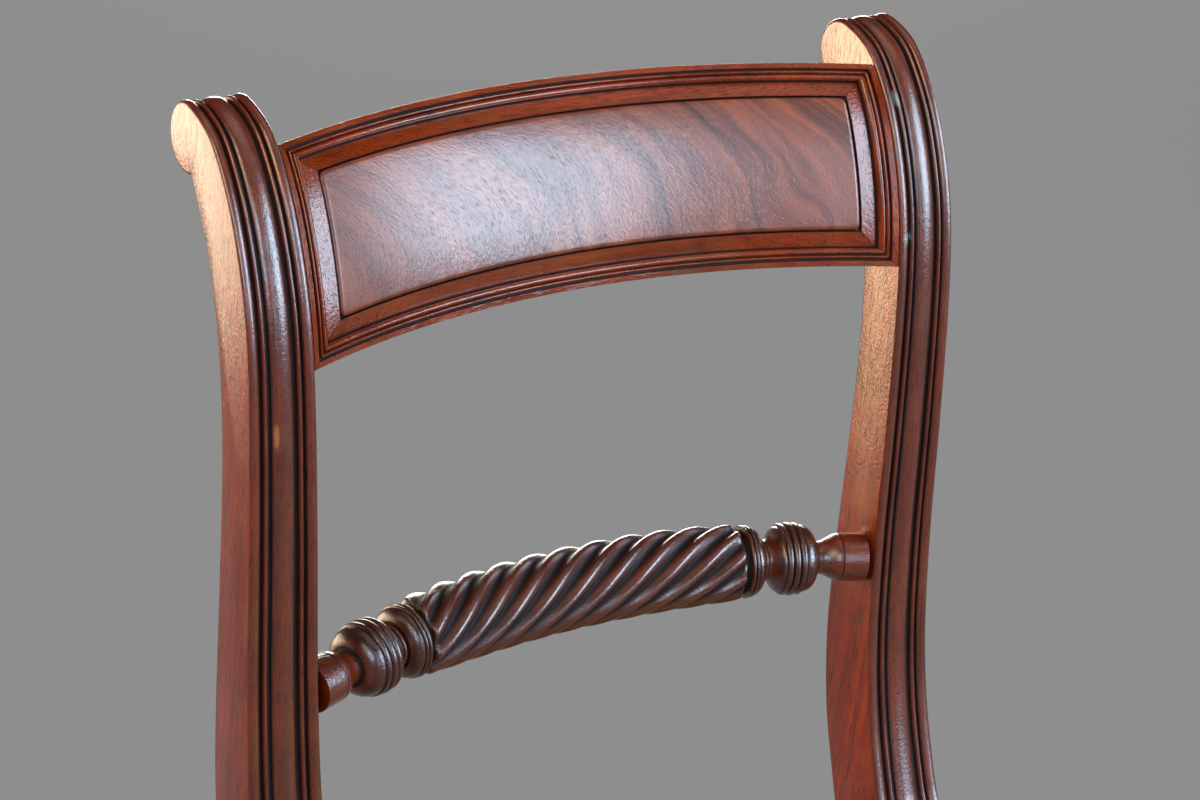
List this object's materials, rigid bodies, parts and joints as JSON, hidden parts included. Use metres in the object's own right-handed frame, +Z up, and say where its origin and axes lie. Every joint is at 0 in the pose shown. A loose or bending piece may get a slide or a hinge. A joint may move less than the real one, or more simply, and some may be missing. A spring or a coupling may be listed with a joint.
{
  "type": "dining chair",
  "caption": "Wooden dining chair with scrolled and reeded back posts, a bowed top rail with a raised panel, a rope-carved cross rail, sabre legs and a drop-in padded seat",
  "frame": {"origin": "on the floor, under the middle of the chair's bounding box", "axes": "+Z up, -Y is the front where the sitter faces, +X is the right side seen from the front"},
  "size_m": [0.48, 0.5548, 0.8825],
  "materials": {
    "mahogany": "waxed, red-brown",
    "flame_veneer": "polished flame figure",
    "beech": "raw",
    "webbing": "woven jute",
    "seat_cover": "plain woven cover",
    "steel": "plain"
  },
  "bodies": {
    "frame": {"back_post_left": "mahogany", "back_post_right": "mahogany", "back_rail": "mahogany", "corner_block_back_left": "beech", "corner_block_back_right": "beech", "corner_block_front_left": "beech", "corner_block_front_right": "beech", "front_leg_left": "mahogany", "front_leg_right": "mahogany", "front_rail": "mahogany", "rope_rail": "mahogany", "screw_back_rail_left": "steel", "screw_back_rail_right": "steel", "screw_back_side_left": "steel", "screw_back_side_right": "steel", "screw_front_rail_left": "steel", "screw_front_rail_right": "steel", "screw_front_side_left": "steel", "screw_front_side_right": "steel", "seat_bearer_left": "beech", "seat_bearer_right": "beech", "side_rail_left": "mahogany", "side_rail_right": "mahogany", "tablet_moulding_bottom": "mahogany", "tablet_moulding_left": "mahogany", "tablet_moulding_right": "mahogany", "tablet_moulding_top": "mahogany", "tablet_panel": "flame_veneer", "tablet_rail": "mahogany"},
    "seat": {"seat_frame_back": "beech", "seat_frame_front": "beech", "seat_frame_left": "beech", "seat_frame_right": "beech", "seat_pad": "seat_cover", "webbing_cross_1": "webbing", "webbing_cross_2": "webbing", "webbing_cross_3": "webbing", "webbing_length_1": "webbing", "webbing_length_2": "webbing", "webbing_length_3": "webbing"}
  },
  "joints": [
    {"name": "seat_lift", "type": "slide", "parent": "frame", "child": "seat", "axis": [0, 0, 1], "range_m": [0, 0.08]}
  ]
}
